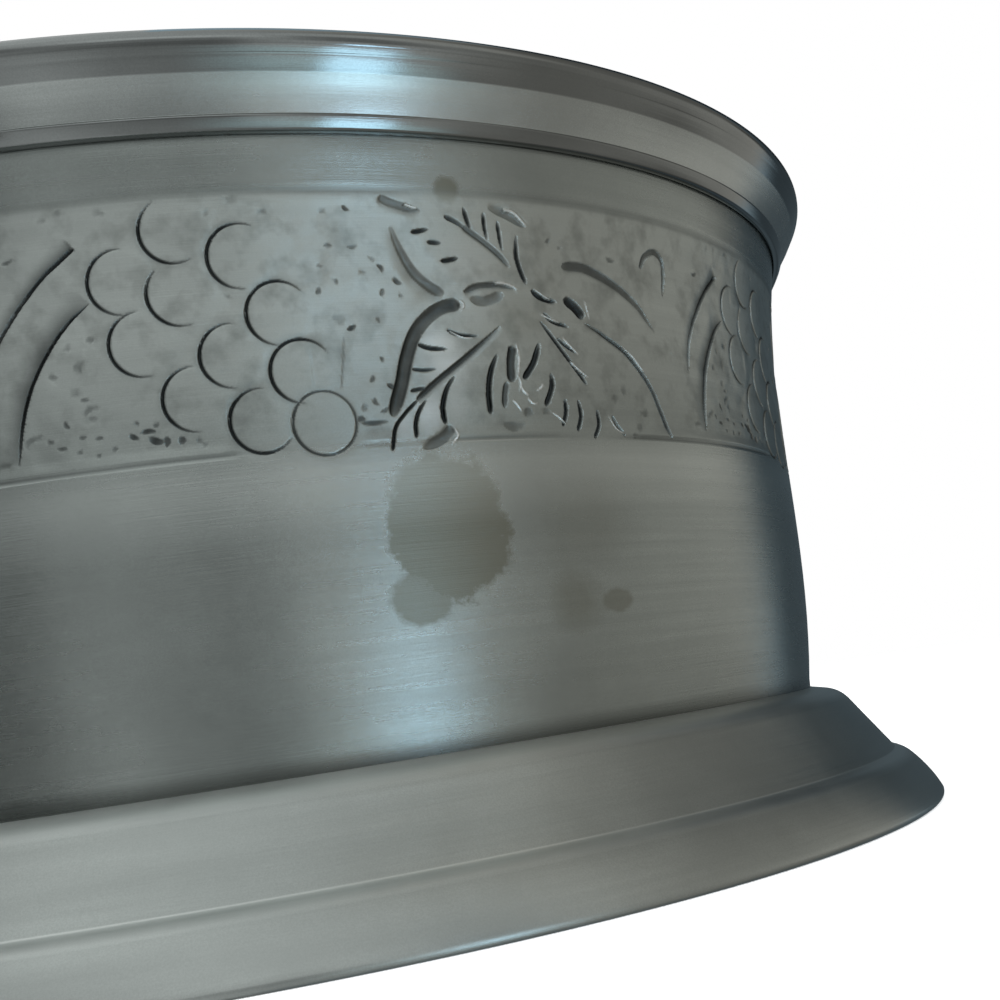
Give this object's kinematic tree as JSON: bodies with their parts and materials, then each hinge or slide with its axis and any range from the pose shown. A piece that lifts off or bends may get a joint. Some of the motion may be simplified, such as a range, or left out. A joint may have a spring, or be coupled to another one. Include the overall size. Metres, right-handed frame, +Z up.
{
  "type": "wine bottle coaster",
  "caption": "Round pewter wine bottle coaster with a flared wall, a chased frieze of grapes and vine leaves, a beaded rim moulding and a spreading foot.",
  "frame": {"origin": "centre of the underside, on the surface that the coaster stands on", "axes": "+Z up the axis of the coaster, -Y to the front of the pictured side, +X to the right"},
  "size_m": [0.14, 0.14, 0.0591],
  "materials": {
    "wall_pewter": "satin pewter, brushed round the wall, tarnished in patches",
    "rim_pewter": "satin pewter, burnished on the beads",
    "foot_pewter": "satin pewter with fine turning lines",
    "floor_pewter": "satin pewter with turning lines",
    "felt": "dark green pressed wool felt"
  },
  "bodies": {
    "root": {"gallery_wall": "wall_pewter", "rim_moulding": "rim_pewter", "foot_ring": "foot_pewter", "floor_plate": "floor_pewter", "felt_pad": "felt"}
  },
  "joints": []
}
